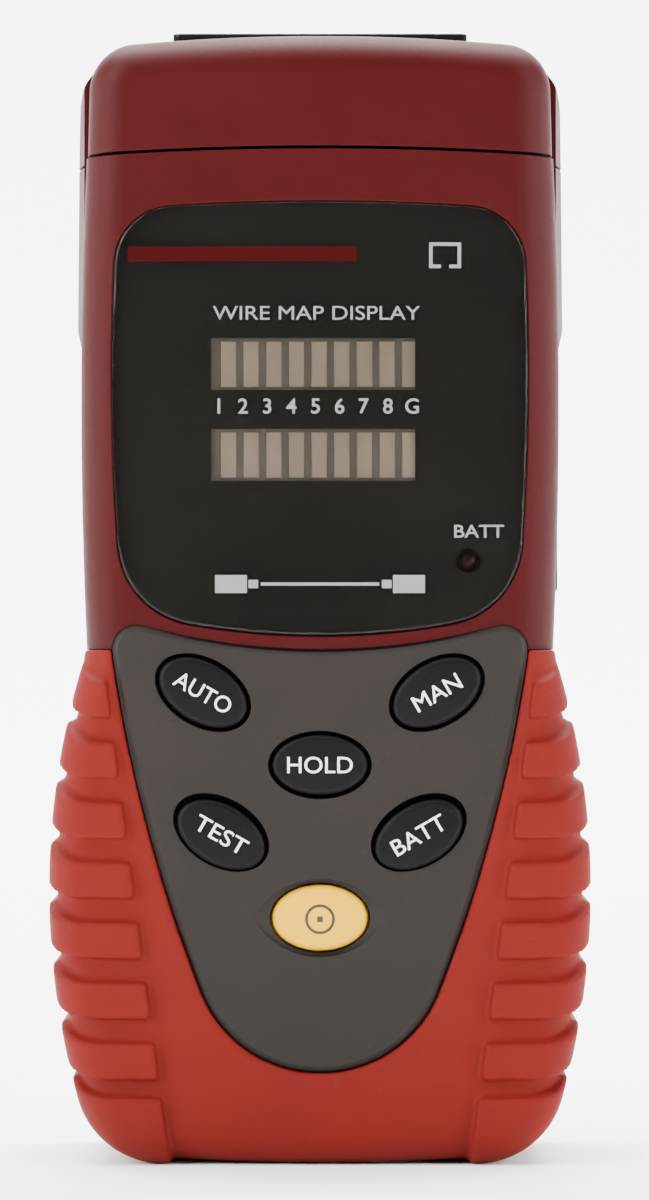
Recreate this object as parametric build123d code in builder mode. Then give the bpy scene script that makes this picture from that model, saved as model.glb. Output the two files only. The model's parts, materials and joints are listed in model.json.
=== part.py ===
"""Handheld network cable tester with a detachable remote unit on top, in millimetres.

The tester stands on its lower end: +Z runs up its length, the keypad faces -Y and +X is to the
right of someone facing the keypad. The origin is the middle of the footprint, at table height.
"""

import os

from build123d import *

os.makedirs("parts", exist_ok=True)

# ---------------------------------------------------------------- driving dimensions
half_depth = 22.0  # rib crests, front and back
crown_radius = 450.0  # the whole front is gently crowned from side to side
seam_radius = 520.0  # the joint between main unit and remote bows upwards
split_z = 74.2  # bare hard case above, rubber grip below
seam_z = 146.6  # middle of the joint line between main unit and remote
seam_gap = 0.45
top_z = 163.9  # top of the remote's connector plate
remote_top_z = 163.0

case_front = 20.0  # hard case, front surface at its middle
case_back = 20.0
core_front = 18.6  # hard case below the split, under the rubber
core_back = 18.6
wall = 2.0
grip_front = 20.6
grip_back = 20.7
grip_skin = 2.2  # rubber thickness at the sides
shoulder_y = 2.5  # the rear half flares out to its shoulders from here back
flare_end_y = 14.5
hollow_shoulder_y = 9.0

side_radius = 109.0  # the grip's flank, seen from the front
side_mid_z = 39.7
rib_pitch = 8.66
rib_height = 5.2
rib_count = 7
rib_first_z = 64.4  # lower edge of the top rib, on the front
lug_top_z = 9.8

bezel_back = core_front
bezel_front = 20.9
flange_height = 0.8
lens_front = 20.15
mask_thickness = 0.2

pcb_front_y = -9.8
pcb_thickness = 1.6
pcb_back_y = pcb_front_y + pcb_thickness

key_half = (6.9, 4.35)
key_gap = 0.55
key_places = {  # name: (x, z, tilt in degrees, drop below the opening's centre)
    "auto": (-16.8, 68.1, -30, 0.0),
    "man": (16.8, 68.1, 30, 0.0),
    "hold": (0.0, 57.7, 0, 0.0),
    "test": (-14.2, 48.0, -30, 0.35),
    "battery": (14.2, 48.0, 30, 0.35),
}
power_place = (0.0, 35.7)
power_half = (6.95, 4.75)

bar_pitch = 3.27
bar_size = (2.25, 6.5)
bar_count = 9
bar_first_x = -13.2
bar_rows = {"upper_bar": 115.4, "lower_bar": 102.3}
window_x = (-15.7, 13.7)
window_height = 7.5
led_place = (21.4, 87.0)
led_radius = 1.5
led_hole_radius = 1.8

jack_size = (16.0, 13.0, 18.0)  # wide, tall above its board, deep along the plug
port_size = (11.8, 6.8, 12.6)

neck_half = (24.0, 9.3)
neck_bottom_z = 139.0
dock_floor_z = 138.2
dock_bottom_z = 136.6

case_screw_places = [(-28.3, 128.0), (28.3, 128.0), (-28.3, 23.0), (28.3, 23.0)]
remote_screw_places = [(-27.8, 152.6), (27.8, 152.6)]
post_places = [(-21.5, 131.8), (21.5, 131.8), (-15.0, 18.6), (15.0, 18.6)]

battery_size = (26.5, 17.5, 46.4)
battery_y = (0.3, 17.8)
battery_z = (17.0, 63.4)
bay_half_x = 14.2
bay_wall = 1.2
bay_z = (15.0, 68.0)
door_half_x = 16.5
door_y = (18.7, 20.7)
door_z = (12.2, 73.8)
door_screw_z = 71.3

front = Plane.XZ  # local y is +Z, and its normal points to the front (-Y)


# ---------------------------------------------------------------- shared outlines and blocks
def placed(outline, y=0.0):
    """An outline drawn in (x, z), stood up in the plane Y = y and facing the front."""
    return front.offset(-y) * outline


def flank_x(crest, z):
    """Half-width of the grip at height z: crest is its widest value."""
    return crest - (z - side_mid_z) ** 2 / (2 * side_radius)


def crowned(front_y):
    """Everything behind the crowned front surface whose middle is front_y in front of Y = 0."""
    reach = 45.0
    sag = reach**2 / (2 * crown_radius)
    with BuildPart() as block:
        with BuildSketch(Plane.XY.offset(-5)):
            with BuildLine():
                edge = ThreePointArc((-reach, -front_y + sag), (0, -front_y), (reach, -front_y + sag))
                Polyline(edge @ 1, (reach, 30), (-reach, 30), edge @ 0)
            make_face()
        extrude(amount=180)
    return block.part


def bowed_line(half, z_middle, radius=seam_radius):
    """A shallow arc across the unit, highest in its middle."""
    drop = half**2 / (2 * radius)
    return ThreePointArc((-half, z_middle - drop), (0, z_middle), (half, z_middle - drop))


def case_outline(inset=0.0, low=split_z, high=seam_z - seam_gap / 2):
    """The hard case above the grip, seen from the front."""
    with BuildSketch() as outline:
        with BuildLine():
            top = bowed_line(33.8 - inset, high)
            right = ThreePointArc(top @ 1, (34.6 - inset, 118), (33.8 - inset, low))
            base = Line(right @ 1, (-33.8 + inset, low))
            ThreePointArc(base @ 1, (-34.6 + inset, 118), top @ 0)
        make_face()
    return outline.sketch_local


def case_back_outline(inset=0.0, low=split_z, high=seam_z - seam_gap / 2):
    """The rear half of the hard case, which steps out into shoulders above the middle."""
    with BuildSketch() as outline:
        with BuildLine():
            top = bowed_line(35.9 - inset, high)
            Polyline(
                top @ 1,
                (36.2 - inset, 121.5 + inset / 2),
                (34.4 - inset, 115.0 + inset / 2),
                (33.8 - inset, low),
                (-33.8 + inset, low),
                (-34.4 + inset, 115.0 + inset / 2),
                (-36.2 + inset, 121.5 + inset / 2),
                top @ 0,
            )
        make_face()
        steps = outline.vertices().filter_by(lambda v: 110 < v.Y < 125)
        fillet(steps, 5.0)
    return outline.sketch_local


def remote_outline(half, corner, inset=0.0, low=seam_z + seam_gap / 2, high=remote_top_z):
    """The remote unit, seen from the front."""
    with BuildSketch() as outline:
        with BuildLine():
            base = bowed_line(half - inset, low)
            cap = bowed_line(half - 0.4 - inset, high - inset, 331.0)
            Line(base @ 0, cap @ 0)
            Line(base @ 1, cap @ 1)
        make_face()
        tops = outline.vertices().group_by(Axis.Y)[-1]
        fillet(tops, corner - inset * 0.7)
    return outline.sketch_local


def flank_outline(inset=0.0, high=split_z):
    """The lower half seen from the front: bulging flanks, round lower corners, bowed base."""
    crest = 38.0 - inset
    bottom = 0.1 + inset
    top_half = 34.1 - inset
    straight_z = 64.5
    with BuildSketch() as outline:
        with BuildLine():
            x_low = flank_x(crest, 0)
            ThreePointArc((-x_low, bottom + 1.4), (0, bottom), (x_low, bottom + 1.4))
            for side in (-1, 1):
                flank = ThreePointArc(
                    (side * x_low, bottom + 1.4),
                    (side * crest, side_mid_z),
                    (side * flank_x(crest, straight_z), straight_z),
                )
                lean = (straight_z - side_mid_z) / side_radius
                TangentArc(flank @ 1, (side * top_half, high), tangent=(-side * lean, 1))
            Line((-top_half, high), (top_half, high))
        make_face()
        fillet(outline.vertices().group_by(Axis.Y)[0], 11.6 - inset)
    return outline.sketch_local


def crest_outline(high=72.4):
    """The outline that the rib crests and the lower lugs follow."""
    crest = 39.2
    with BuildSketch() as outline:
        with BuildLine():
            x_low = flank_x(crest, 0)
            x_high = flank_x(crest, high)
            right = ThreePointArc((x_low, 0), (crest, side_mid_z), (x_high, high))
            left = ThreePointArc((-x_low, 0), (-crest, side_mid_z), (-x_high, high))
            Line(left @ 0, right @ 0)
            Line(left @ 1, right @ 1)
        make_face()
        fillet(outline.vertices().group_by(Axis.Y)[0], 12.8)
    return outline.sketch_local


def shield_outline(grow=0.0):
    """The keypad bezel: a bowed top edge and sides that run down to a round point."""
    wide = 1.04 * grow  # the sides lean, so they move out a little further sideways
    with BuildSketch() as outline:
        with BuildLine():
            top = ThreePointArc(
                (-30.2 - wide, 78.8 + grow), (0, 73.9 + grow), (30.2 + wide, 78.8 + grow)
            )
            right = ThreePointArc(top @ 1, (25.5 + wide, 53.0), (16.8 + wide, 25.35))
            tip = ThreePointArc(right @ 1, (0, 13.8 - grow), (-16.8 - wide, 25.35))
            ThreePointArc(tip @ 1, (-25.5 - wide, 53.0), top @ 0)
        make_face()
        fillet(outline.vertices().group_by(Axis.Y)[-1], 3.2 + grow)
    return outline.sketch_local


def lens_outline(grow=0.0):
    """The display lens: slightly barrel-shaped, with larger corners below than above."""
    top_x, mid_x, low_x = 29.2 + grow, 30.0 + grow, 28.4 + grow
    with BuildSketch() as outline:
        with BuildLine():
            top = ThreePointArc((-top_x, 137.6 + grow), (0, 138.8 + grow), (top_x, 137.6 + grow))
            right = ThreePointArc(top @ 1, (mid_x, 112.0), (low_x, 80.0 - grow))
            low = ThreePointArc(right @ 1, (0, 76.2 - grow), (-low_x, 80.0 - grow))
            ThreePointArc(low @ 1, (-mid_x, 112.0), top @ 0)
        make_face()
        fillet(outline.vertices().group_by(Axis.Y)[-1], 8.5 + grow)
        fillet(outline.vertices().group_by(Axis.Y)[0], 12.5 + grow)
    return outline.sketch_local


def rib_slab(low, high):
    """A rib's path round the case, seen from the side: level on the flank, lower on the face."""
    wrap_y = 15.0  # where the rib leaves the flank
    face_y = 20.5
    rise_low, rise_high = 2.3, 2.9
    out = half_depth + 1.0
    with BuildPart() as slab:
        with BuildSketch(Plane.YZ.offset(-45)):
            with BuildLine():
                Polyline(
                    (-out, low),
                    (-face_y, low),
                    (-wrap_y, low + rise_low),
                    (wrap_y, low + rise_low),
                    (face_y, low),
                    (out, low),
                    (out, high),
                    (face_y, high),
                    (wrap_y, high + rise_high),
                    (-wrap_y, high + rise_high),
                    (-face_y, high),
                    (-out, high),
                    close=True,
                )
            make_face()
        extrude(amount=90)
    return slab.part


def rib_field(back):
    """All ribs and both lower lugs of one half, as a solid that reaches to the middle."""
    way = -1.0 if back else 1.0
    slabs = [rib_slab(-30.0, lug_top_z)]
    for n in range(rib_count):
        low = rib_first_z - n * rib_pitch
        slabs.append(rib_slab(low, low + rib_height))
    outer_line, inner_line = 31.3, 21.4  # inner ends of the ribs lie on two leaning lines
    crown = crowned(half_depth)
    with BuildPart() as field:
        extrude(placed(crest_outline()), amount=way * half_depth)
        if not back:
            add(crown, mode=Mode.INTERSECT)
        rim = field.faces().sort_by(Axis.Y)[-1 if back else 0].edges()
        fillet(rim.filter_by(lambda e: e.center().Z < 69), 5.0)
        add(slabs, mode=Mode.INTERSECT)
        with BuildSketch(front):
            with BuildLine():
                Polyline(
                    (-outer_line, 74),
                    (outer_line, 74),
                    (inner_line, -1),
                    (-inner_line, -1),
                    close=True,
                )
            make_face()
        extrude(amount=way * (half_depth + 1), mode=Mode.SUBTRACT)
    return field.part


def prism(outline, y_from, y_to, mode=Mode.ADD):
    """Run an upright outline from one depth to another, in the builder that is open."""
    way = 1 if y_to > y_from else -1
    extrude(placed(outline, y_from), amount=abs(y_to - y_from), dir=(0, way, 0), mode=mode)


def rods(places, radius, y_from, y_to, mode=Mode.ADD):
    """Round bars or holes that run from front to back, at (x, z) places."""
    with BuildSketch(Plane.XY, mode=Mode.PRIVATE) as spots:
        with Locations(*places):
            Circle(radius)
    prism(spots.sketch_local, y_from, y_to, mode)


def block(low, high, mode=Mode.ADD):
    """A plain block between two corners, in the builder that is open."""
    middle = tuple((a + b) / 2 for a, b in zip(low, high))
    with Locations(middle):
        Box(*[b - a for a, b in zip(low, high)], mode=mode)


def front_rim(builder, low=-1.0, high=200.0, least_x=0.0):
    """Edges of the frontmost face whose middles lie between two heights."""
    rim = builder.faces().sort_by(Axis.Y)[0].edges()
    return rim.filter_by(lambda e: low < e.center().Z < high and abs(e.center().X) >= least_x)


def back_rim(builder, low=-1.0, high=200.0, least_x=0.0):
    """Edges of the rearmost face whose middles lie between two heights."""
    rim = builder.faces().sort_by(Axis.Y)[-1].edges()
    return rim.filter_by(lambda e: low < e.center().Z < high and abs(e.center().X) >= least_x)


def ellipses(half, places):
    """Tilted ellipses at (x, z, tilt) places, drawn in (x, z)."""
    with BuildSketch() as spots:
        for x, z, tilt in places:
            with Locations(Location((x, z, 0), (0, 0, tilt))):
                Ellipse(*half)
    return spots.sketch_local


def grown(half, amount):
    return (half[0] + amount, half[1] + amount)


def flare(low, high):
    """Slope the shoulders' sides, in the builder that is open, so that they flare backwards."""
    for side in (-1, 1):
        with BuildSketch(Plane.XY.offset(low), mode=Mode.PRIVATE) as wedge:
            with BuildLine():
                Polyline(
                    (side * 34.75, shoulder_y - 0.5),
                    (side * 36.35, flare_end_y),
                    (side * 42, flare_end_y),
                    (side * 42, shoulder_y - 0.5),
                    close=True,
                )
            make_face()
        extrude(wedge.sketch, amount=high - low, dir=(0, 0, 1), mode=Mode.SUBTRACT)


def save(builder, name):
    builder.part.label = name
    export_step(builder.part, f"parts/{name}.step")


all_keys = [(x, z, tilt) for x, z, tilt, _ in key_places.values()]
power_key = [(*power_place, 0)]

# ---------------------------------------------------------------- blocks the shells are cut from
lip_z = split_z + 2.0  # the grip-wide hollow reaches this far into the bare case
inner_top_z = seam_z - 2.4


def case_block(front_y, inset, low, high, radius):
    """Bare case in front of the parting plane, with its long front edges rounded."""
    outline = case_outline(inset, low, high)
    crown = crowned(front_y)
    with BuildPart() as body:
        prism(outline, 0, -front_y - 1)
        add(crown, mode=Mode.INTERSECT)
        fillet(front_rim(body, least_x=20), radius)
    return body.part


def case_back_block(back_y, inset, low, high, radius):
    """Bare case behind the parting plane; its shoulders begin a little way back."""
    shoulder = hollow_shoulder_y if inset else shoulder_y
    with BuildPart() as body:
        prism(case_back_outline(inset, low, high), shoulder, back_y)
        fillet(back_rim(body, least_x=20), radius)
        prism(case_outline(inset, low, high), 0, shoulder)
    return body.part


def grip_block(inset, front_y, radius, high=split_z):
    """The lower half in front of the parting plane."""
    outline = flank_outline(inset, high)
    crown = crowned(front_y)
    with BuildPart() as body:
        prism(outline, 0, -front_y - 1)
        add(crown, mode=Mode.INTERSECT)
        fillet(front_rim(body, high=high - 1), radius)
    return body.part


def grip_back_block(inset, back_y, radius, high=split_z):
    """The lower half behind the parting plane."""
    outline = flank_outline(inset, high)
    with BuildPart() as body:
        prism(outline, 0, back_y)
        fillet(back_rim(body, high=high - 1), radius)
    return body.part


case_top = seam_z - seam_gap / 2
core_inset = grip_skin
hollow_inset = grip_skin + wall
dock_opening = ((-25.8, -10.8, seam_z - 6), (25.8, 10.8, seam_z + 6))

with BuildSketch() as display_sketch:
    with Locations((0, 103.2)):
        RectangleRounded(48, 43, 4)
display_opening = display_sketch.sketch_local

# ---------------------------------------------------------------- main unit: front shell
front_upper = case_block(case_front, 0.0, split_z, case_top, 6.0)
front_core = grip_block(core_inset, core_front, 3.4)
front_hollow = case_block(17.0, wall, lip_z, inner_top_z, 3.5)
front_core_hollow = grip_block(hollow_inset, core_front - wall, 2.0, high=lip_z)

with BuildPart() as bezel_pocket:
    prism(shield_outline(grow=0.4), -10, -25)
    add(crowned(core_front), mode=Mode.SUBTRACT)

with BuildPart() as lens_pocket:
    prism(lens_outline(grow=0.12), -10, -25)
    add(crowned(18.2), mode=Mode.SUBTRACT)

with BuildPart() as front_shell:
    add(front_upper)
    add(front_core)
    add(front_hollow, mode=Mode.SUBTRACT)
    add(front_core_hollow, mode=Mode.SUBTRACT)
    add(bezel_pocket.part, mode=Mode.SUBTRACT)
    add(lens_pocket.part, mode=Mode.SUBTRACT)
    prism(display_opening, 0, -25, Mode.SUBTRACT)
    prism(ellipses(grown(key_half, 0.65), all_keys), 0, -25, Mode.SUBTRACT)
    prism(ellipses(grown(power_half, 0.45), power_key), 0, -25, Mode.SUBTRACT)
    block(*dock_opening, Mode.SUBTRACT)
    rods(case_screw_places, 3.1, -0.3, -17.2)
    rods(case_screw_places, 1.3, 0, -13.5, Mode.SUBTRACT)
    rods(post_places, 2.3, pcb_front_y - 0.05, -17.2)
    rods(post_places, 0.8, pcb_front_y, -15.0, Mode.SUBTRACT)
save(front_shell, "front_shell")

# ---------------------------------------------------------------- main unit: rear shell
rear_upper = case_back_block(case_back, 0.0, split_z, case_top, 5.5)
rear_core = grip_back_block(core_inset, core_back, 3.4)
rear_hollow = case_back_block(case_back - wall, wall, lip_z, inner_top_z, 3.5)
rear_core_hollow = grip_back_block(hollow_inset, core_back - wall, 2.0, high=lip_z)

with BuildPart() as rear_shell:
    add(rear_upper)
    flare(110, 150)
    add(rear_core)
    add(rear_hollow, mode=Mode.SUBTRACT)
    add(rear_core_hollow, mode=Mode.SUBTRACT)
    block(*dock_opening, Mode.SUBTRACT)
    rods(case_screw_places[:2], 3.8, 0.3, case_back - 1.5)
    rods(case_screw_places[2:], 3.8, 0.3, core_back - 1.5)
    rods(case_screw_places, 1.6, 0, case_back + 5, Mode.SUBTRACT)
    rods(case_screw_places, 2.9, 11.8, case_back + 5, Mode.SUBTRACT)
    rods([(0, door_screw_z)], 2.7, 14.4, core_back - 1)
    rods([(0, door_screw_z)], 1.5, 14.0, core_back + 5, Mode.SUBTRACT)
    block(
        (-bay_half_x - bay_wall, -1.0, bay_z[0] - bay_wall),
        (bay_half_x + bay_wall, core_back - 1, bay_z[1] + bay_wall),
    )
    block((-bay_half_x, 0.15, bay_z[0]), (bay_half_x, 30, bay_z[1]), Mode.SUBTRACT)
    block((-5, -2, 64.4), (5, 1, 67.6), Mode.SUBTRACT)  # way out for the battery leads
    for side in (-1, 1):
        block((side * 7 - 1, 0, bay_z[0] - 0.5), (side * 7 + 1, 15, battery_z[0] - 0.05))
    with BuildSketch(front.offset(-case_back + 0.35)):  # shallow seat for the rear label
        with Locations((0, 110)):
            RectangleRounded(44, 34, 2)
    extrude(amount=5, dir=(0, 1, 0), mode=Mode.SUBTRACT)
    block((32.4, 4.4, 82.6), (35.1, 7.8, 95.0))  # small rib on the right-hand side
    small_rib = rear_shell.edges().filter_by(Axis.Y).filter_by(
        lambda e: e.center().X > 35 and 80 < e.center().Z < 97
    )
    fillet(small_rib, 0.6)
save(rear_shell, "rear_shell")

# ---------------------------------------------------------------- rubber grip, front and rear
fit_gap = 0.1
front_seat = grip_block(core_inset - fit_gap, core_front + fit_gap, 3.4)
rear_seat = grip_back_block(core_inset - fit_gap, core_back + fit_gap, 3.4)
front_skin = grip_block(0.0, grip_front, 4.6)
rear_skin = grip_back_block(0.0, grip_back, 4.6)
front_ribs = rib_field(back=False)
rear_ribs = rib_field(back=True)

with BuildPart() as front_grip:
    add(front_skin)
    add(front_ribs)
    add(front_seat, mode=Mode.SUBTRACT)
    prism(shield_outline(grow=0.45), -5, -25, Mode.SUBTRACT)
save(front_grip, "front_grip")

with BuildPart() as rear_grip:
    add(rear_skin)
    add(rear_ribs)
    add(rear_seat, mode=Mode.SUBTRACT)
    block(
        (-door_half_x - 0.4, 5, door_z[0] - 0.5), (door_half_x + 0.4, 30, split_z + 5), Mode.SUBTRACT
    )
    rods(case_screw_places, 3.4, 5, 30, Mode.SUBTRACT)
save(rear_grip, "rear_grip")

# ---------------------------------------------------------------- display
with BuildPart() as display_lens:
    prism(lens_outline(), -10, -25)
    add(crowned(lens_front), mode=Mode.INTERSECT)
    add(crowned(lens_front - 1.5), mode=Mode.SUBTRACT)
    fillet(front_rim(display_lens), 0.5)
save(display_lens, "display_lens")

with BuildPart() as lens_mask:
    prism(lens_outline(grow=-0.4), -10, -25)
    add(crowned(lens_front - 1.52), mode=Mode.INTERSECT)
    add(crowned(lens_front - 1.52 - mask_thickness), mode=Mode.SUBTRACT)
    for row_z in bar_rows.values():
        block(
            (window_x[0], -25, row_z - window_height / 2),
            (window_x[1], -5, row_z + window_height / 2),
            Mode.SUBTRACT,
        )
    rods([led_place], led_hole_radius, -5, -25, Mode.SUBTRACT)
save(lens_mask, "lens_mask")

with BuildPart() as lens_tape:
    prism(lens_outline(grow=-0.6), -10, -25)
    add(crowned(18.39), mode=Mode.INTERSECT)
    add(crowned(18.22), mode=Mode.SUBTRACT)
    prism(lens_outline(grow=-3.2), -5, -25, Mode.SUBTRACT)
save(lens_tape, "lens_tape")

bar_xs = [bar_first_x + n * bar_pitch for n in range(bar_count)]


def bar_housing(row_z):
    """The moulded block that keeps the nine light bars of one row apart."""
    with BuildPart() as housing:
        block((-17.2, -18.0, row_z - 4.9), (15.6, pcb_front_y - 0.02, row_z + 4.9))
        fillet(housing.edges().filter_by(Axis.Y), 0.6)
        for x in bar_xs:
            block(
                (x - bar_size[0] / 2 - 0.03, -19, row_z - bar_size[1] / 2 - 0.03),
                (x + bar_size[0] / 2 + 0.03, -12, row_z + bar_size[1] / 2 + 0.03),
                Mode.SUBTRACT,
            )
    return housing


def bar_segments(row_z):
    """Nine light bars, each its own moulding, sharing one node."""
    with BuildPart() as segments:
        for x in bar_xs:
            block(
                (x - bar_size[0] / 2, -17.9, row_z - bar_size[1] / 2),
                (x + bar_size[0] / 2, -12, row_z + bar_size[1] / 2),
            )
    return segments


for row_name, row_z in bar_rows.items():
    save(bar_housing(row_z), f"{row_name}_housing")
    save(bar_segments(row_z), f"{row_name}_segments")

led_x, led_z = led_place
with BuildPart() as battery_led:
    rods([led_place], led_radius, -12.3, -16.4)
    with Locations((led_x, -16.4, led_z)):
        Sphere(led_radius)
    rods([led_place], led_radius + 0.4, -12.2, -13.2)
save(battery_led, "battery_led")

with BuildPart() as led_leads:
    rods([(led_x - 0.8, led_z), (led_x + 0.8, led_z)], 0.25, -12.2, pcb_front_y)
save(led_leads, "led_leads")

# ---------------------------------------------------------------- keypad
dish_half_x = 9.6
dish_radius = 31.5
dish_depth = 1.5
power_x, power_z = power_place

with BuildPart() as power_dish:
    with BuildSketch(front.offset(15)):
        with BuildLine():
            dish_top = ThreePointArc(
                (-dish_half_x, power_z), (0, power_z + 5.6), (dish_half_x, power_z)
            )
            ThreePointArc(dish_top @ 1, (0, power_z - 5.6), dish_top @ 0)
        make_face()
    extrude(amount=10)
    with Locations((0, -bezel_front - dish_radius + dish_depth, power_z)):
        Cylinder(dish_radius, 20, mode=Mode.INTERSECT)

with BuildPart() as keypad_bezel:
    prism(shield_outline(), -10, -25)
    add(crowned(bezel_front), mode=Mode.INTERSECT)
    chamfer(front_rim(keypad_bezel), 0.45)
    prism(shield_outline(grow=0.33), -10, -(core_front + flange_height))
    add(crowned(bezel_back + 0.02), mode=Mode.SUBTRACT)
    prism(ellipses(grown(key_half, key_gap), all_keys), 0, -25, Mode.SUBTRACT)
    prism(ellipses(grown(power_half, 0.3), power_key), 0, -25, Mode.SUBTRACT)
    add(power_dish.part, mode=Mode.SUBTRACT)
save(keypad_bezel, "keypad_bezel")

key_flange = grown(key_half, 1.0)
flange_y = (-15.8, -15.0)
pill_y = (-11.35, -10.95)

with BuildPart() as keypad_membrane:
    block((-26.3, flange_y[0] + 0.05, 28.0), (26.3, flange_y[1], 73.6))
    fillet(keypad_membrane.edges().filter_by(Axis.Y), 4)
    prism(ellipses(grown(key_half, 1.5), all_keys + power_key), 0, -25, Mode.SUBTRACT)
save(keypad_membrane, "keypad_membrane")


def key_cap(x, z, tilt, half, cap_front, dome_radius):
    """A domed oval key with a retaining flange and a plunger behind it."""
    oval = ellipses(half, [(x, z, tilt)])
    flange = ellipses(key_flange, [(x, z, tilt)])
    with BuildPart() as cap:
        prism(oval, flange_y[1], cap_front - 2)
        with Locations((x, cap_front + dome_radius, z)):
            Sphere(dome_radius, mode=Mode.INTERSECT)
        fillet(front_rim(cap), 0.8)
        prism(flange, flange_y[1], flange_y[0])
        rods([(x, z)], 2.4, flange_y[1] - 0.2, pill_y[0])
    return cap


def contact_pill(x, z):
    with BuildPart() as pill:
        rods([(x, z)], 2.2, pill_y[0], pill_y[1])
    return pill


for key_name, (key_x, key_z, key_tilt, key_drop) in key_places.items():
    cap_z = key_z - key_drop
    save(key_cap(key_x, cap_z, key_tilt, key_half, -21.4, 60.0), f"key_{key_name}")
    save(contact_pill(key_x, cap_z), f"key_{key_name}_pill")
save(key_cap(power_x, power_z, 0, power_half, -20.5, 40.0), "power_button")
save(contact_pill(power_x, power_z), "power_button_pill")

# ---------------------------------------------------------------- main circuit board
with BuildPart() as main_pcb:
    block((-24.2, pcb_front_y, 12.0), (24.2, pcb_back_y, 136.0))
    fillet(main_pcb.edges().filter_by(Axis.Y), 2)
    rods(post_places, 1.0, -5, -15, Mode.SUBTRACT)
save(main_pcb, "main_pcb")

pad_places = [(x, z - drop) for x, z, _, drop in key_places.values()] + [power_place]
with BuildPart() as key_contact_pads:
    rods(pad_places, 2.7, pcb_front_y - 0.1, pcb_front_y)
    for x, z in pad_places:
        block((x - 0.25, -12, z - 4), (x + 0.25, -5, z + 4), Mode.SUBTRACT)
save(key_contact_pads, "key_contact_pads")

with BuildPart() as pcb_screws:
    rods(post_places, 1.9, pcb_back_y, pcb_back_y + 1.3)
    rods(post_places, 0.72, pcb_back_y, pcb_back_y - 6.0)
    for x, z in post_places:
        block((x - 1.2, pcb_back_y + 0.7, z - 0.25), (x + 1.2, 0, z + 0.25), Mode.SUBTRACT)
        block((x - 0.25, pcb_back_y + 0.7, z - 1.2), (x + 0.25, 0, z + 1.2), Mode.SUBTRACT)
save(pcb_screws, "pcb_screws")


def chip(x, z, half_x, half_z, height, pins, board_y, four_sides=False):
    """A surface-mounted chip body on the back of a board, with its rows of pins."""
    with BuildPart() as body:
        block(
            (x - half_x, board_y + 0.1, z - half_z), (x + half_x, board_y + height, z + half_z)
        )
        chamfer(body.edges().group_by(Axis.Y)[-1], 0.2)
        for n in range(pins):
            step = (n - (pins - 1) / 2) * 0.9
            block(
                (x + step - 0.2, board_y, z - half_z - 0.8),
                (x + step + 0.2, board_y + 0.5, z + half_z + 0.8),
            )
            if four_sides:
                block(
                    (x - half_x - 0.8, board_y, z + step - 0.2),
                    (x + half_x + 0.8, board_y + 0.5, z + step + 0.2),
                )
    return body.part


processor = chip(0, 96, 5, 5, 1.4, 10, pcb_back_y, four_sides=True)
drivers = [chip(x, 82, 2.4, 1.9, 1.5, 4, pcb_back_y) for x in (-15, 0, 15)]

with BuildPart() as microcontroller:
    add(processor)
save(microcontroller, "microcontroller")

with BuildPart() as driver_chips:
    add(drivers)
save(driver_chips, "driver_chips")

with BuildPart() as capacitors:
    rods([(-17, 108), (17, 108)], 2.5, pcb_back_y + 0.02, pcb_back_y + 6)
    chamfer(capacitors.edges().group_by(Axis.Y)[-1], 0.3)
save(capacitors, "capacitors")


# ---------------------------------------------------------------- sockets
def jack(low_y, high_z):
    """An eight-way modular socket whose mouth looks up: body with port and latch notch."""
    half_x = jack_size[0] / 2
    high_y = low_y + jack_size[1]
    port_y = low_y + 3.1
    with BuildPart() as body:
        block((-half_x, low_y, high_z - jack_size[2]), (half_x, high_y, high_z))
        fillet(body.edges().filter_by(Axis.Z), 0.6)
        port_x = port_size[0] / 2
        floor_z = high_z - port_size[2]
        block((-port_x, port_y, floor_z), (port_x, port_y + port_size[1], high_z + 1), Mode.SUBTRACT)
        block((-3.1, port_y, floor_z), (3.1, port_y + port_size[1] + 1.4, high_z + 1), Mode.SUBTRACT)
        block((-1.7, port_y, floor_z), (1.7, port_y + port_size[1] + 2.4, high_z + 1), Mode.SUBTRACT)
    return body


def jack_contacts(low_y, high_z):
    """Eight sprung contact wires that lean into the port from its board side."""
    root_y = low_y + 3.15
    with BuildPart() as wires:
        for n in range(8):
            x = (n - 3.5) * 1.02
            with BuildSketch(Plane.YZ.offset(x - 0.18)):
                with BuildLine():
                    Polyline(
                        (root_y, high_z - 1.6),
                        (root_y + 0.35, high_z - 1.6),
                        (root_y + 1.9, high_z - 9.6),
                        (root_y + 0.35, high_z - 10.6),
                        (root_y + 0.3, high_z - 10.3),
                        (root_y + 1.5, high_z - 9.4),
                        close=True,
                    )
                make_face()
            extrude(amount=0.36)
    return wires


main_jack_y = pcb_back_y + 0.05
main_jack_top = dock_floor_z - 0.1
save(jack(main_jack_y, main_jack_top), "main_jack")
save(jack_contacts(main_jack_y, main_jack_top), "main_jack_contacts")

dock_top_z = 145.4
with BuildPart() as dock_tray:
    block((-25.6, -10.6, dock_bottom_z), (25.6, 10.6, dock_top_z))
    fillet(dock_tray.edges().filter_by(Axis.Z), 1.5)
    block((-27.4, -12.4, 142.2), (27.4, 12.4, 143.3))
    block((-24.4, -9.7, dock_floor_z), (24.4, 9.7, dock_top_z + 1), Mode.SUBTRACT)
    block((-8.2, main_jack_y - 0.2, 130), (8.2, main_jack_y + 13.2, 140), Mode.SUBTRACT)
save(dock_tray, "dock_tray")

# ---------------------------------------------------------------- battery and its leads
with BuildPart() as battery:
    block(
        (-battery_size[0] / 2, battery_y[0], battery_z[0]),
        (battery_size[0] / 2, battery_y[1], battery_z[1]),
    )
    fillet(battery.edges().filter_by(Axis.Z), 2.2)
    fillet(battery.faces().filter_by(Axis.Z).edges(), 0.5)
save(battery, "battery")

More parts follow.
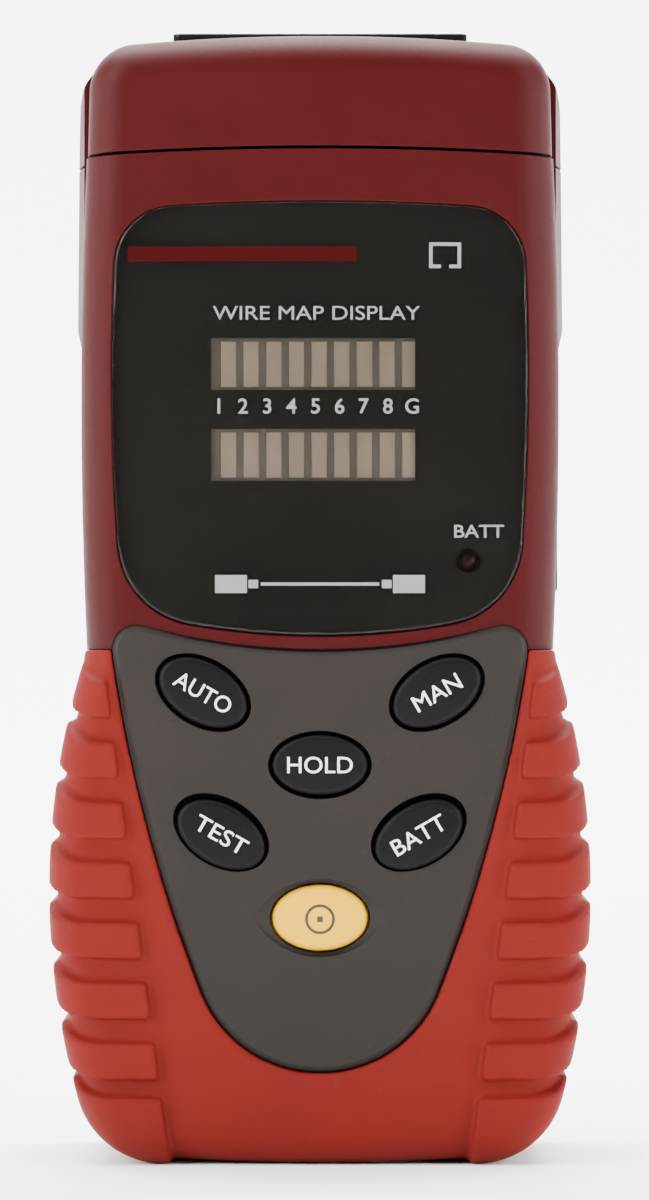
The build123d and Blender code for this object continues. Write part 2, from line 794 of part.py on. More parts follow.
terminal_y = sum(battery_y) / 2
with BuildPart() as battery_terminals:
    with BuildSketch(Plane.XY.offset(battery_z[1] + 0.02)):
        with Locations((-6.35, terminal_y)):
            Circle(2.8)
    extrude(amount=2.4)
    with BuildSketch(Plane.XY.offset(battery_z[1] + 0.02)):
        with Locations((6.35, terminal_y)):
            RegularPolygon(3.7, 6)
    extrude(amount=2.4)
save(battery_terminals, "battery_terminals")

with BuildPart() as battery_snap:
    block((-12.8, terminal_y - 5.5, 64.5), (12.8, terminal_y + 5.5, 67.3))
    fillet(battery_snap.edges().filter_by(Axis.Z), 3.5)
    with BuildSketch(Plane.XY.offset(64)):
        with Locations((-6.35, terminal_y)):
            Circle(3.0)
        with Locations((6.35, terminal_y)):
            Circle(3.95)
    extrude(amount=2.0, mode=Mode.SUBTRACT)
save(battery_snap, "battery_snap")


def battery_lead(x):
    """A round lead from the snap, out through the bay wall and up to the circuit board."""
    with BuildPart() as lead:
        with BuildLine():
            run = FilletPolyline(
                (x, terminal_y - 5.55, 66.0),
                (x, -3.6, 66.0),
                (x, -3.6, 78.0),
                (x, pcb_back_y + 0.05, 78.0),
                radius=1.6,
            )
        with BuildSketch(Plane(origin=run @ 0, z_dir=run % 0)):
            Circle(0.65)
        sweep()
    return lead


save(battery_lead(-3.0), "battery_lead_red")
save(battery_lead(3.0), "battery_lead_black")

# ---------------------------------------------------------------- battery door
with BuildPart() as battery_door:
    block((-door_half_x, door_y[0], door_z[0]), (door_half_x, door_y[1], door_z[1]))
    fillet(battery_door.edges().filter_by(Axis.Y), 2.0)
    fillet(back_rim(battery_door), 0.6)
    block((-12, 17.0, 15.2), (12, door_y[0], 16.4))
    for side in (-1, 1):
        block((side * 13.7 - 0.3, 17.9, 20), (side * 13.7 + 0.3, door_y[0], 64))
    rods([(0, door_screw_z)], 1.6, 10, 30, Mode.SUBTRACT)
    rods([(0, door_screw_z)], 2.6, 19.6, 30, Mode.SUBTRACT)
    for n in range(5):
        block((-6, door_y[1] - 0.4, 16 + 1.6 * n), (6, 30, 16.8 + 1.6 * n), Mode.SUBTRACT)
save(battery_door, "battery_door")

with BuildPart() as door_pad:
    block((-11, 17.85, 24), (11, door_y[0] - 0.02, 56))
save(door_pad, "door_pad")


def screw(x, z, head_y, head_radius, head_height, shank_radius, tip_y):
    """A cross-recessed screw that is driven in from the back."""
    with BuildPart() as body:
        rods([(x, z)], head_radius, head_y, head_y + head_height)
        fillet(back_rim(body), 0.4)
        rods([(x, z)], shank_radius, head_y, tip_y)
        slot_y = head_y + head_height - 1.0
        block((x - 1.4, slot_y, z - 0.3), (x + 1.4, 40, z + 0.3), Mode.SUBTRACT)
        block((x - 0.3, slot_y, z - 1.4), (x + 0.3, 40, z + 1.4), Mode.SUBTRACT)
    return body.part


door_screw_solid = screw(0, door_screw_z, 19.62, 2.3, 1.4, 1.1, 14.8)
case_screw_solids = [screw(x, z, 11.85, 2.6, 2.0, 1.25, -12) for x, z in case_screw_places]
remote_screw_solids = [screw(x, z, 14.05, 2.3, 1.8, 1.05, -10) for x, z in remote_screw_places]

with BuildPart() as door_screw:
    add(door_screw_solid)
save(door_screw, "door_screw")

with BuildPart() as case_screws:
    add(case_screw_solids)
save(case_screws, "case_screws")

with BuildPart() as rear_label:
    with BuildSketch(front.offset(-case_back + 0.33)):
        with Locations((0, 110)):
            RectangleRounded(43.2, 33.2, 1.8)
    extrude(amount=0.15, dir=(0, 1, 0))
save(rear_label, "rear_label")

# ---------------------------------------------------------------- remote unit
remote_low = seam_z + seam_gap / 2
remote_hollow_low = seam_z + 2.2
remote_inset = 1.8


def remote_front_block(front_y, inset, low, radius):
    outline = remote_outline(33.6, 7.0, inset, low)
    crown = crowned(front_y)
    with BuildPart() as body:
        prism(outline, 0, -front_y - 1)
        add(crown, mode=Mode.INTERSECT)
        fillet(front_rim(body, low=low + 1), radius)
    return body.part


def remote_back_block(back_y, inset, low, radius):
    shoulder = hollow_shoulder_y if inset else shoulder_y
    with BuildPart() as body:
        prism(remote_outline(35.9, 8.0, inset, low, remote_top_z - 0.3), shoulder, back_y)
        fillet(back_rim(body, low=low + 1), radius)
        prism(remote_outline(33.6, 7.0, inset, low), 0, shoulder)
    return body.part


plate_half = (21.4, 9.4)
plate_opening = (
    (-plate_half[0] - 0.2, -plate_half[1] - 0.2, 155),
    (plate_half[0] + 0.2, plate_half[1] + 0.2, 170),
)
neck_x, neck_y = neck_half
neck_wall = 1.6

remote_front_solid = remote_front_block(case_front, 0.0, remote_low, 5.5)
remote_front_hollow = remote_front_block(case_front - remote_inset, remote_inset, remote_hollow_low, 3.7)
remote_back_solid = remote_back_block(case_back, 0.0, remote_low, 5.5)
remote_back_hollow = remote_back_block(case_back - remote_inset, remote_inset, remote_hollow_low, 3.7)

with BuildPart() as remote_front_shell:
    add(remote_front_solid)
    block((-neck_x, -neck_y, neck_bottom_z), (neck_x, 0, remote_low + 1))
    add(remote_front_hollow, mode=Mode.SUBTRACT)
    block(
        (-neck_x + neck_wall, -neck_y + neck_wall, neck_bottom_z + neck_wall),
        (neck_x - neck_wall, 1, remote_hollow_low + 1),
        Mode.SUBTRACT,
    )
    block(*plate_opening, Mode.SUBTRACT)
    rods(remote_screw_places, 2.6, -0.3, -18.5)
    rods(remote_screw_places, 1.1, 0, -12, Mode.SUBTRACT)
save(remote_front_shell, "remote_front_shell")

with BuildPart() as remote_rear_shell:
    add(remote_back_solid)
    flare(140, 170)
    block((-neck_x, 0, neck_bottom_z), (neck_x, neck_y, remote_low + 1))
    add(remote_back_hollow, mode=Mode.SUBTRACT)
    block(
        (-neck_x + neck_wall, -1, neck_bottom_z + neck_wall),
        (neck_x - neck_wall, neck_y - neck_wall, remote_hollow_low + 1),
        Mode.SUBTRACT,
    )
    block(*plate_opening, Mode.SUBTRACT)
    rods(remote_screw_places, 3.4, 0.3, case_back - 1.5)
    rods(remote_screw_places, 1.35, 0, case_back + 5, Mode.SUBTRACT)
    rods(remote_screw_places, 2.6, 14.0, case_back + 5, Mode.SUBTRACT)
save(remote_rear_shell, "remote_rear_shell")

remote_jack_y = -5.8 + 0.05
remote_jack_top = top_z - 1.7
plate_low_z = top_z - 4.8
with BuildPart() as remote_top_plate:
    block((-plate_half[0], -plate_half[1], plate_low_z), (plate_half[0], plate_half[1], top_z))
    fillet(remote_top_plate.edges().filter_by(Axis.Z), 1.0)
    fillet(remote_top_plate.edges().group_by(Axis.Z)[-1], 0.3)
    block((-23.2, -11.2, plate_low_z), (23.2, 11.2, plate_low_z + 1.0))
    block((-19.8, -7.8, 150), (19.8, 7.8, remote_jack_top + 0.1), Mode.SUBTRACT)
    port_front_y = remote_jack_y + 3.1 - 0.3
    block((-6.2, port_front_y, 150), (6.2, port_front_y + 7.4, 170), Mode.SUBTRACT)
    block((-3.4, port_front_y, 150), (3.4, port_front_y + 8.8, 170), Mode.SUBTRACT)
save(remote_top_plate, "remote_top_plate")

save(jack(remote_jack_y, remote_jack_top), "remote_jack")
save(jack_contacts(remote_jack_y, remote_jack_top), "remote_jack_contacts")

with BuildPart() as remote_pcb:
    block((-20, -7.4, 141.4), (20, -5.8, plate_low_z - 0.4))
    fillet(remote_pcb.edges().filter_by(Axis.Y), 1)
save(remote_pcb, "remote_pcb")

remote_chip_solid = chip(-14, 150, 2.4, 1.9, 1.5, 4, -5.8)
with BuildPart() as remote_chip:
    add(remote_chip_solid)
save(remote_chip, "remote_chip")

with BuildPart() as remote_screws:
    add(remote_screw_solids)
save(remote_screws, "remote_screws")
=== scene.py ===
"""Looks for the network cable tester: procedural finishes, moulded rubber, printed legends."""

import json
import math

import bmesh
import bpy
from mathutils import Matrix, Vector


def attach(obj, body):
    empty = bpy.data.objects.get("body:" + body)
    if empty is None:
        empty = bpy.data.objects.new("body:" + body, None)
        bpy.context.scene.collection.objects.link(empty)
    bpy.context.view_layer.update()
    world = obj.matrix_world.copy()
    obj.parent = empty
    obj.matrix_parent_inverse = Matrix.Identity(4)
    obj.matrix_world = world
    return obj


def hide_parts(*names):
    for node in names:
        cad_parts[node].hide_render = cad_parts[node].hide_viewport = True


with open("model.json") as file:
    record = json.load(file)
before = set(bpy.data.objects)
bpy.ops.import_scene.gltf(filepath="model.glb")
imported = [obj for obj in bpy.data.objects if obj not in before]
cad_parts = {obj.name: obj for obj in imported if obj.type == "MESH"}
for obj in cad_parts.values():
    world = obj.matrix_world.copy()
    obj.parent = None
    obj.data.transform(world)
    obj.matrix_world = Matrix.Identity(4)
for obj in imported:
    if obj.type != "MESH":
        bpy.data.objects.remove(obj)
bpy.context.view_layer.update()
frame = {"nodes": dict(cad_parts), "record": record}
nodes = frame["nodes"]


# ---------------------------------------------------------------- node helpers
class Graph:
    """Small helper that builds one material's node tree."""

    def __init__(self, name):
        self.mat = bpy.data.materials.new(name)
        self.mat.use_nodes = True
        self.tree = self.mat.node_tree
        self.tree.nodes.clear()
        self.out = self.tree.nodes.new("ShaderNodeOutputMaterial")
        self.coords = self.tree.nodes.new("ShaderNodeTexCoord").outputs["Object"]

    def node(self, kind, **inputs):
        made = self.tree.nodes.new(kind)
        for key, value in inputs.items():
            self.put(made, key.replace("_", " "), value)
        return made

    def put(self, node, socket, value):
        if isinstance(value, bpy.types.NodeSocket):
            self.tree.links.new(value, node.inputs[socket])
        else:
            node.inputs[socket].default_value = value

    def noise(self, scale, detail=3.0, rough=0.5, stretch=None):
        coords = self.coords
        if stretch:
            mapping = self.tree.nodes.new("ShaderNodeMapping")
            mapping.inputs["Scale"].default_value = stretch
            self.tree.links.new(coords, mapping.inputs["Vector"])
            coords = mapping.outputs["Vector"]
        tex = self.node("ShaderNodeTexNoise", Vector=coords, Scale=scale, Detail=detail, Roughness=rough)
        return tex.outputs[0]

    def ramp(self, value, low, high, to_low=0.0, to_high=1.0):
        span = self.tree.nodes.new("ShaderNodeMapRange")
        self.put(span, "Value", value)
        span.inputs["From Min"].default_value = low
        span.inputs["From Max"].default_value = high
        span.inputs["To Min"].default_value = to_low
        span.inputs["To Max"].default_value = to_high
        return span.outputs["Result"]

    def mix(self, factor, a, b):
        mixer = self.tree.nodes.new("ShaderNodeMix")
        mixer.data_type = "RGBA"
        self.tree.links.new(factor, mixer.inputs[0])
        for socket, value in ((mixer.inputs[6], a), (mixer.inputs[7], b)):
            if isinstance(value, bpy.types.NodeSocket):
                self.tree.links.new(value, socket)
            else:
                socket.default_value = (*value, 1.0)
        return mixer.outputs[2]

    def math(self, kind, a, b=None):
        calc = self.tree.nodes.new("ShaderNodeMath")
        calc.operation = kind
        for n, value in enumerate((a, b)):
            if value is None:
                continue
            if isinstance(value, bpy.types.NodeSocket):
                self.tree.links.new(value, calc.inputs[n])
            else:
                calc.inputs[n].default_value = value
        return calc.outputs[0]


def scaled(color, factor):
    return tuple(min(1.0, c * factor) for c in color)


def finish(
    name,
    color,
    rough,
    rough_spread=0.08,
    grain=2600.0,
    grain_depth=1.2e-5,
    tone=0.10,
    tone_scale=60.0,
    bevel=0.0,
    metallic=0.0,
    dust=0.0,
    dust_color=(0.30, 0.28, 0.26),
    dust_scale=900.0,
    specular=0.5,
    subsurface=0.0,
    wave=0.0,
):
    """A moulded or metal surface: uneven tone, uneven gloss, fine grain and a little dust."""
    g = Graph(name)
    broad = g.noise(tone_scale, 4.0, 0.6)
    fine = g.noise(grain, 2.0, 0.5)
    color_out = g.mix(g.ramp(broad, 0.3, 0.7), scaled(color, 1 - tone), scaled(color, 1 + tone))
    if dust:
        specks = g.ramp(g.noise(dust_scale, 1.0, 0.4), 0.70, 0.76, 0.0, dust)
        color_out = g.mix(specks, color_out, dust_color)
    rough_out = g.ramp(
        g.math("ADD", g.math("MULTIPLY", broad, 0.5), g.math("MULTIPLY", fine, 0.5)),
        0.3,
        0.7,
        max(0.02, rough - rough_spread),
        rough + rough_spread,
    )
    height = fine
    if wave:
        height = g.math("ADD", fine, g.math("MULTIPLY", g.noise(tone_scale * 2, 2.0), wave))
    bump = g.node("ShaderNodeBump", Strength=1.0, Distance=grain_depth, Height=height)
    if bevel:
        edge = g.tree.nodes.new("ShaderNodeBevel")
        edge.samples = 6
        edge.inputs["Radius"].default_value = bevel
        g.tree.links.new(edge.outputs["Normal"], bump.inputs["Normal"])
    shader = g.tree.nodes.new("ShaderNodeBsdfPrincipled")
    g.put(shader, "Base Color", color_out)
    g.put(shader, "Roughness", rough_out)
    g.put(shader, "Normal", bump.outputs["Normal"])
    g.put(shader, "Metallic", metallic)
    g.put(shader, "Specular IOR Level", specular)
    if subsurface:
        g.put(shader, "Subsurface Weight", subsurface)
        g.put(shader, "Subsurface Scale", 0.001)
    g.tree.links.new(shader.outputs["BSDF"], g.out.inputs["Surface"])
    return g.mat


LENS_FILM = 0.10  # share of the smoked body that is haze rather than clear
LENS_FACE_ON = 0.012  # how much the polished skin reflects, seen square on
LENS_GRAZING = 0.30  # and how much more at a grazing angle
SCHLICK_POWER = 5.0


def lens_finish():
    """Smoked acrylic: mostly clear, a little dark haze, with a polished skin.

    The skin's reflection depends only on the angle, so it is the same on the lens's front and back
    faces. A Fresnel node would treat the back face as the way out of solid acrylic and reflect fully.
    """
    g = Graph("lens_smoke")
    haze = g.ramp(g.noise(35.0, 3.0), 0.3, 0.7, 0.0, 1.0)
    tint = g.mix(haze, (0.80, 0.80, 0.77), (0.86, 0.86, 0.83))
    clear = g.node("ShaderNodeBsdfTransparent", Color=tint)
    fine = g.noise(700.0, 3.0, 0.6)
    bump = g.node("ShaderNodeBump", Strength=0.6, Distance=1.5e-6, Height=fine)
    polish_rough = g.ramp(fine, 0.3, 0.7, 0.03, 0.07)
    polish = g.node("ShaderNodeBsdfGlossy", Roughness=polish_rough, Normal=bump.outputs["Normal"])
    polish.inputs["Color"].default_value = (1, 1, 1, 1)
    film_color = g.mix(haze, (0.010, 0.0095, 0.0075), (0.014, 0.013, 0.0105))
    film = g.node("ShaderNodeBsdfDiffuse", Color=film_color)
    body = g.tree.nodes.new("ShaderNodeMixShader")
    body.inputs["Fac"].default_value = LENS_FILM
    g.tree.links.new(clear.outputs[0], body.inputs[1])
    g.tree.links.new(film.outputs[0], body.inputs[2])
    facing = g.node("ShaderNodeLayerWeight", Blend=0.5)
    grazing = g.math("POWER", facing.outputs["Facing"], SCHLICK_POWER)
    coated = g.math("ADD", g.math("MULTIPLY", grazing, LENS_GRAZING), LENS_FACE_ON)
    skin = g.tree.nodes.new("ShaderNodeMixShader")
    g.tree.links.new(coated, skin.inputs["Fac"])
    g.tree.links.new(body.outputs[0], skin.inputs[1])
    g.tree.links.new(polish.outputs[0], skin.inputs[2])
    g.tree.links.new(skin.outputs[0], g.out.inputs["Surface"])
    return g.mat


def board_finish():
    """Green solder mask with faint tracks."""
    g = Graph("board_green")
    wires = g.node("ShaderNodeTexBrick", Vector=g.coords, Scale=180.0)
    wires.inputs["Color1"].default_value = (0.012, 0.10, 0.035, 1)
    wires.inputs["Color2"].default_value = (0.016, 0.13, 0.045, 1)
    wires.inputs["Mortar"].default_value = (0.03, 0.20, 0.07, 1)
    rough = g.ramp(g.noise(500.0), 0.3, 0.7, 0.3, 0.45)
    bump = g.node("ShaderNodeBump", Strength=0.5, Distance=1e-5, Height=g.noise(900.0))
    shader = g.node(
        "ShaderNodeBsdfPrincipled",
        Base_Color=wires.outputs["Color"],
        Roughness=rough,
        Normal=bump.outputs["Normal"],
    )
    g.tree.links.new(shader.outputs["BSDF"], g.out.inputs["Surface"])
    return g.mat


shell_red = finish(
    "shell_red", (0.031, 0.0003, 0.0007), 0.52, 0.06, grain=2300.0, grain_depth=1.6e-5, tone=0.05,
    bevel=0.0003, dust=0.06, dust_color=(0.06, 0.012, 0.012), specular=0.10,
)
rubber_red = finish(
    "grip_rubber", (0.105, 0.0052, 0.0036), 0.66, 0.07, grain=2000.0, grain_depth=1.3e-5, tone=0.06,
    tone_scale=45.0, dust=0.16, dust_color=(0.13, 0.022, 0.018), dust_scale=650.0, specular=0.10, wave=0.8,
)
bezel_grey = finish(
    "bezel_grey", (0.0135, 0.0108, 0.0095), 0.55, 0.06, grain=3200.0, grain_depth=1.6e-5, tone=0.05,
    bevel=0.00025, dust=0.12, dust_color=(0.04, 0.035, 0.032), specular=0.12,
)
key_black = finish(
    "key_rubber", (0.0018, 0.0016, 0.0013), 0.50, 0.08, grain=2600.0, grain_depth=1.0e-5, tone=0.10,
    dust=0.35, dust_color=(0.022, 0.020, 0.018), dust_scale=1500.0, bevel=0.0002, specular=0.10,
)
power_yellow = finish(
    "power_yellow", (0.62, 0.33, 0.0005), 0.40, 0.06, grain=1500.0, grain_depth=5e-6, tone=0.03,
    bevel=0.0002, specular=0.12,
)
mask_black = finish("mask_black", (0.0016, 0.0015, 0.0012), 0.6, specular=0.2, tone=0.08, grain_depth=4e-6)
bar_grey = finish("bar_housing_grey", (0.075, 0.060, 0.053), 0.5, tone=0.08, tone_scale=160.0)
bar_diffuser = finish(
    "bar_diffuser", (0.27, 0.205, 0.170), 0.35, tone=0.06, tone_scale=260.0, subsurface=0.15
)
led_red = finish("led_red", (0.014, 0.0006, 0.0006), 0.30, 0.05, tone=0.1, specular=0.15)
gold = finish("contact_gold", (0.80, 0.56, 0.22), 0.30, metallic=1.0, tone=0.08)
steel = finish("steel", (0.45, 0.44, 0.42), 0.38, 0.1, metallic=1.0, tone=0.12, bevel=0.0001)
black_moulding = finish("chip_black", (0.012, 0.012, 0.012), 0.45, tone=0.15, bevel=0.00015, dust=0.15)
socket_black = finish(
    "socket_black", (0.0045, 0.0045, 0.005), 0.60, specular=0.08, tone=0.12, bevel=0.0002, dust=0.12
)
battery_can = finish(
    "battery_can", (0.05, 0.05, 0.055), 0.35, metallic=0.6, tone=0.12, bevel=0.0003, grain=900.0
)
lead_red = finish("lead_red", (0.42, 0.012, 0.010), 0.42, tone=0.08)
lead_black = finish("lead_black", (0.012, 0.012, 0.012), 0.42, tone=0.1)
foam = finish(
    "foam", (0.03, 0.03, 0.03), 0.95, grain=1200.0, grain_depth=2e-4, tone=0.3, tone_scale=900.0
)
label_silver = finish("label_silver", (0.50, 0.50, 0.50), 0.35, metallic=0.7, tone=0.05, grain=1800.0)
print_grey = finish("print_grey", (0.15, 0.15, 0.146), 0.6, tone=0.05, tone_scale=700.0)
print_white = finish("print_white", (0.75, 0.75, 0.73), 0.55, tone=0.04, tone_scale=900.0)
print_red = finish("print_red", (0.024, 0.0004, 0.0003), 0.65, specular=0.05, tone=0.06, tone_scale=700.0)
print_dark = finish("print_dark", (0.012, 0.008, 0.004), 0.55, tone=0.15, tone_scale=1200.0)
capacitor_blue = finish("capacitor_blue", (0.02, 0.04, 0.12), 0.35, metallic=0.4, tone=0.1)
board_green = board_finish()
lens_smoke = lens_finish()

by_slot = {
    "shell_red": shell_red,
    "grip_rubber": rubber_red,
    "bezel_grey": bezel_grey,
    "key_rubber": key_black,
    "power_yellow": power_yellow,
    "lens_smoke": lens_smoke,
    "mask_black": mask_black,
    "tape_black": black_moulding,
    "bar_housing_grey": bar_grey,
    "bar_diffuser": bar_diffuser,
    "led_red": led_red,
    "board_green": board_green,
    "contact_gold": gold,
    "chip_black": black_moulding,
    "socket_black": socket_black,
    "steel": steel,
    "battery_can": battery_can,
    "lead_red": lead_red,
    "lead_black": lead_black,
    "foam": foam,
    "label_silver": label_silver,
    "pill_carbon": key_black,
    "membrane": key_black,
    "capacitor_blue": capacitor_blue,
}


def dress(mesh, material):
    mesh.materials.clear()
    mesh.materials.append(material)


for part in frame["record"]["subparts"]:
    dress(nodes[part["node"]].data, by_slot[part["material_slot"]])


# ---------------------------------------------------------------- moulded rubber grip
def moulded(node_name, piece_name, voxel=0.00038, rounds=9):
    """The CAD grip with the soft, rounded edges of moulded rubber."""
    mesh = nodes[node_name].data.copy()
    piece = bpy.data.objects.new(piece_name, mesh)
    bpy.context.scene.collection.objects.link(piece)
    remesh = piece.modifiers.new("skin", "REMESH")
    remesh.mode = "VOXEL"
    remesh.voxel_size = voxel
    remesh.use_smooth_shade = True
    relax = piece.modifiers.new("soften", "SMOOTH")
    relax.factor = 0.5
    relax.iterations = rounds
    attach(piece, "main_unit")
    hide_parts(node_name)
    return piece


moulded("front_grip", "grip_front_moulded")
moulded("rear_grip", "grip_rear_moulded")


# ---------------------------------------------------------------- printed legends
CROWN = 0.45  # radius of the front's gentle crown, in metres
LENS_FRONT = 0.02015  # the lens's outer surface at its middle


def on_lens(x, z):
    return -LENS_FRONT + x * x / (2 * CROWN)


def dome(kx, kz, front_y, radius):
    def surface(x, z):
        return front_y + ((x - kx) ** 2 + (z - kz) ** 2) / (2 * radius)

    return surface


def lay(name, bm, surface, material, body, lift=2.5e-5):
    """Finishes a printed piece: its (u, v) outline is in X and Z, and it follows a surface."""
    for vert in bm.verts:
        vert.co.y = surface(vert.co.x, vert.co.z) - lift
    mesh = bpy.data.meshes.new(name)
    bm.normal_update()
    bm.to_mesh(mesh)
    bm.free()
    dress(mesh, material)
    piece = bpy.data.objects.new(name, mesh)
    bpy.context.scene.collection.objects.link(piece)
    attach(piece, body)
    return piece


def legend(name, words, height, x, z, surface, material, body, tilt=0.0, width=None, bold=0.0):
    """Words whose capitals are `height` tall, centred on (x, z) and optionally fitted to a width."""
    curve = bpy.data.curves.new(name, "FONT")
    curve.body = words
    curve.size = 1.0
    curve.offset = bold
    curve.resolution_u = 6
    temp = bpy.data.objects.new(name + "_type", curve)
    bpy.context.scene.collection.objects.link(temp)
    bpy.context.view_layer.update()
    mesh = bpy.data.meshes.new_from_object(temp.evaluated_get(bpy.context.evaluated_depsgraph_get()))
    bpy.data.objects.remove(temp)
    xs = [v.co.x for v in mesh.vertices]
    ys = [v.co.y for v in mesh.vertices]
    scale_z = height / (max(ys) - min(ys))
    scale_x = width / (max(xs) - min(xs)) if width else scale_z
    mid_x, mid_y = (max(xs) + min(xs)) / 2, (max(ys) + min(ys)) / 2
    cos_t, sin_t = math.cos(math.radians(tilt)), math.sin(math.radians(tilt))
    bm = bmesh.new()
    bm.from_mesh(mesh)
    bpy.data.meshes.remove(mesh)
    for vert in bm.verts:
        u = (vert.co.x - mid_x) * scale_x
        v = (vert.co.y - mid_y) * scale_z
        vert.co = Vector((x + u * cos_t - v * sin_t, 0.0, z + u * sin_t + v * cos_t))
    return lay(name, bm, surface, material, body)


def ring(name, x, z, outer, inner, surface, material, body, steps=48):
    bm = bmesh.new()
    loops = []
    for radius in (outer, inner):
        loops.append(
            [
                bm.verts.new((x + radius * math.cos(a), 0.0, z + radius * math.sin(a)))
                for a in (2 * math.pi * n / steps for n in range(steps))
            ]
        )
    for n in range(steps):
        m = (n + 1) % steps
        bm.faces.new((loops[0][n], loops[0][m], loops[1][m], loops[1][n]))
    return lay(name, bm, surface, material, body)


def patch(name, corners, surface, material, body, cuts=6):
    """A flat printed polygon given by its (x, z) corners."""
    bm = bmesh.new()
    bm.faces.new([bm.verts.new((x, 0.0, z)) for x, z in corners])
    bmesh.ops.subdivide_edges(bm, edges=bm.edges[:], cuts=cuts, use_grid_fill=True)
    return lay(name, bm, surface, material, body)


MM = 0.001
MAIN = "main_unit"
legend("legend_heading", "WIRE MAP DISPLAY", 2.0 * MM, -0.5 * MM, 122.7 * MM, on_lens, print_grey, MAIN,
       width=29.8 * MM)
for n, mark in enumerate("12345678G"):
    legend("legend_line_" + mark, mark, 2.2 * MM, (-14.55 + 3.475 * n) * MM, 109.3 * MM, on_lens,
           print_grey, MAIN, bold=0.012)
legend("legend_battery", "BATT", 1.85 * MM, 22.9 * MM, 91.3 * MM, on_lens, print_grey, MAIN,
       width=7.2 * MM, bold=0.01)


def box_patch(name, x_mid, z_mid, width, height, material):
    """A printed rectangle on the lens, in millimetres."""
    x, z, w, h = (value * MM for value in (x_mid, z_mid, width / 2, height / 2))
    patch(name, [(x - w, z - h), (x + w, z - h), (x + w, z + h), (x - w, z + h)], on_lens, material, MAIN)


box_patch("mark_bar", -11.2, 131.2, 33.0, 2.2, print_red)
box_patch("mark_socket_top", 18.0, 132.6, 4.6, 0.5, print_grey)
for side in (-1, 1):
    label = "left" if side < 0 else "right"
    box_patch("mark_socket_" + label, 18.0 + side * 2.05, 131.0, 0.5, 2.7, print_grey)
    box_patch("mark_socket_foot_" + label, 18.0 + side * 1.45, 129.4, 1.7, 0.5, print_grey)
    box_patch("mark_plug_" + label, side * 12.8, 83.7, 4.6, 2.6, print_grey)
    box_patch("mark_plug_neck_" + label, side * 9.6, 83.7, 1.4, 1.2, print_grey)
box_patch("mark_cable", 0.0, 83.7, 17.0, 0.45, print_grey)

key_words = {
    "auto": ("AUTO", -16.8, 68.1, -30, 8.9),
    "man": ("MAN", 16.8, 68.1, 30, 7.4),
    "hold": ("HOLD", 0.0, 57.7, 0, 9.4),
    "test": ("TEST", -14.2, 47.65, -30, 8.2),
    "battery": ("BATT", 14.2, 47.65, 30, 8.4),
}
for key, (words, kx, kz, tilt, width) in key_words.items():
    top = dome(kx * MM, kz * MM, -0.0214, 0.060)
    legend("legend_key_" + key, words, 2.35 * MM, kx * MM, kz * MM, top, print_white,
           "key_" + key + "_body", tilt=tilt, width=width * MM)

power_top = dome(0.0, 35.7 * MM, -0.0205, 0.040)
ring("power_ring", 0.0, 35.5 * MM, 2.15 * MM, 1.75 * MM, power_top, print_dark, "power_button_body")
dot = 0.42 * MM
dot_low, dot_high = 35.5 * MM - dot, 35.5 * MM + dot
patch("power_dot", [(-dot, dot_low), (dot, dot_low), (dot, dot_high), (-dot, dot_high)],
      power_top, print_dark, "power_button_body")


# ---------------------------------------------------------------- studio
def stage_material(name, color, rough):
    g = Graph(name)
    tone = g.mix(g.ramp(g.noise(3.0), 0.3, 0.7), scaled(color, 0.985), color)
    shader = g.node("ShaderNodeBsdfPrincipled", Base_Color=tone, Roughness=rough)
    g.tree.links.new(shader.outputs["BSDF"], g.out.inputs["Surface"])
    return g.mat


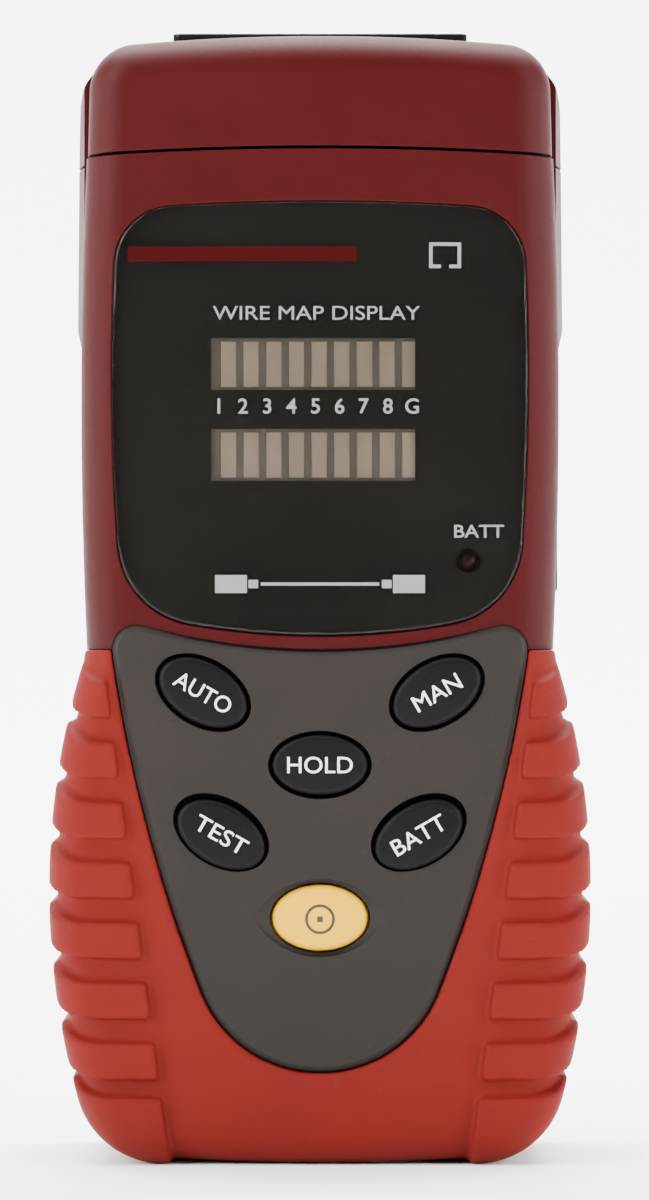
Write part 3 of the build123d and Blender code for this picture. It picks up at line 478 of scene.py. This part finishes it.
sweep = bmesh.new()
COVE_START, COVE_RADIUS = 1.75, 0.45  # the backdrop stands well behind, clear of a camera placed there
profile = [(-3.5, 0.0), (COVE_START, 0.0)]
profile += [
    (COVE_START + COVE_RADIUS * math.sin(a), COVE_RADIUS - COVE_RADIUS * math.cos(a))
    for a in (math.pi / 2 * n / 14 for n in range(1, 15))
]
profile.append((COVE_START + COVE_RADIUS, 3.5))
rows = [[sweep.verts.new((x, y, z)) for y, z in profile] for x in (-4.0, 4.0)]
for n in range(len(profile) - 1):
    sweep.faces.new((rows[0][n], rows[1][n], rows[1][n + 1], rows[0][n + 1]))
floor_mesh = bpy.data.meshes.new("studio_sweep")
sweep.to_mesh(floor_mesh)
sweep.free()
for face in floor_mesh.polygons:
    face.use_smooth = True
floor_mesh.materials.append(stage_material("studio_white", (0.92, 0.92, 0.915), 0.9))
floor = bpy.data.objects.new("studio_sweep", floor_mesh)
bpy.context.scene.collection.objects.link(floor)


def softbox(name, place, target, width, height, power):
    lamp = bpy.data.lights.new(name, "AREA")
    lamp.shape = "RECTANGLE"
    lamp.size = width
    lamp.size_y = height
    lamp.energy = power
    holder = bpy.data.objects.new(name, lamp)
    holder.location = place
    holder.rotation_euler = (Vector(target) - Vector(place)).to_track_quat("-Z", "Y").to_euler()
    bpy.context.scene.collection.objects.link(holder)


aim = (0.0, 0.0, 0.08)
softbox("key_left", (-1.1, -0.75, 0.75), aim, 0.8, 1.2, 53.0)
softbox("fill_right", (1.15, -0.75, 0.55), aim, 0.7, 1.1, 30.0)
softbox("top", (0.0, -0.25, 1.3), aim, 1.1, 0.7, 16.0)
softbox("sweep_wash", (0.0, 0.9, 2.6), (0.0, 2.0, 0.35), 3.0, 0.8, 520.0)
for side in (-1, 1):
    softbox("edge_" + ("left" if side < 0 else "right"), (side * 0.8, 0.12, 0.16), aim, 0.3, 0.6, 6.0)

world = bpy.data.worlds.new("studio_air")
world.use_nodes = True
bpy.context.scene.world = world
world.node_tree.nodes["Background"].inputs["Color"].default_value = (1.0, 1.0, 1.0, 1.0)
world.node_tree.nodes["Background"].inputs["Strength"].default_value = 0.12

camera_data = bpy.data.cameras.new("camera")
camera_data.sensor_fit = "VERTICAL"
camera_data.sensor_height = 36.0
camera_data.lens = 36.0 * 850.0 / 172.2
camera = bpy.data.objects.new("camera", camera_data)
camera.location = (0.00065, -0.872, 0.0814)
camera.rotation_euler = (math.radians(90), 0.0, 0.0)
bpy.context.scene.collection.objects.link(camera)
bpy.context.scene.camera = camera
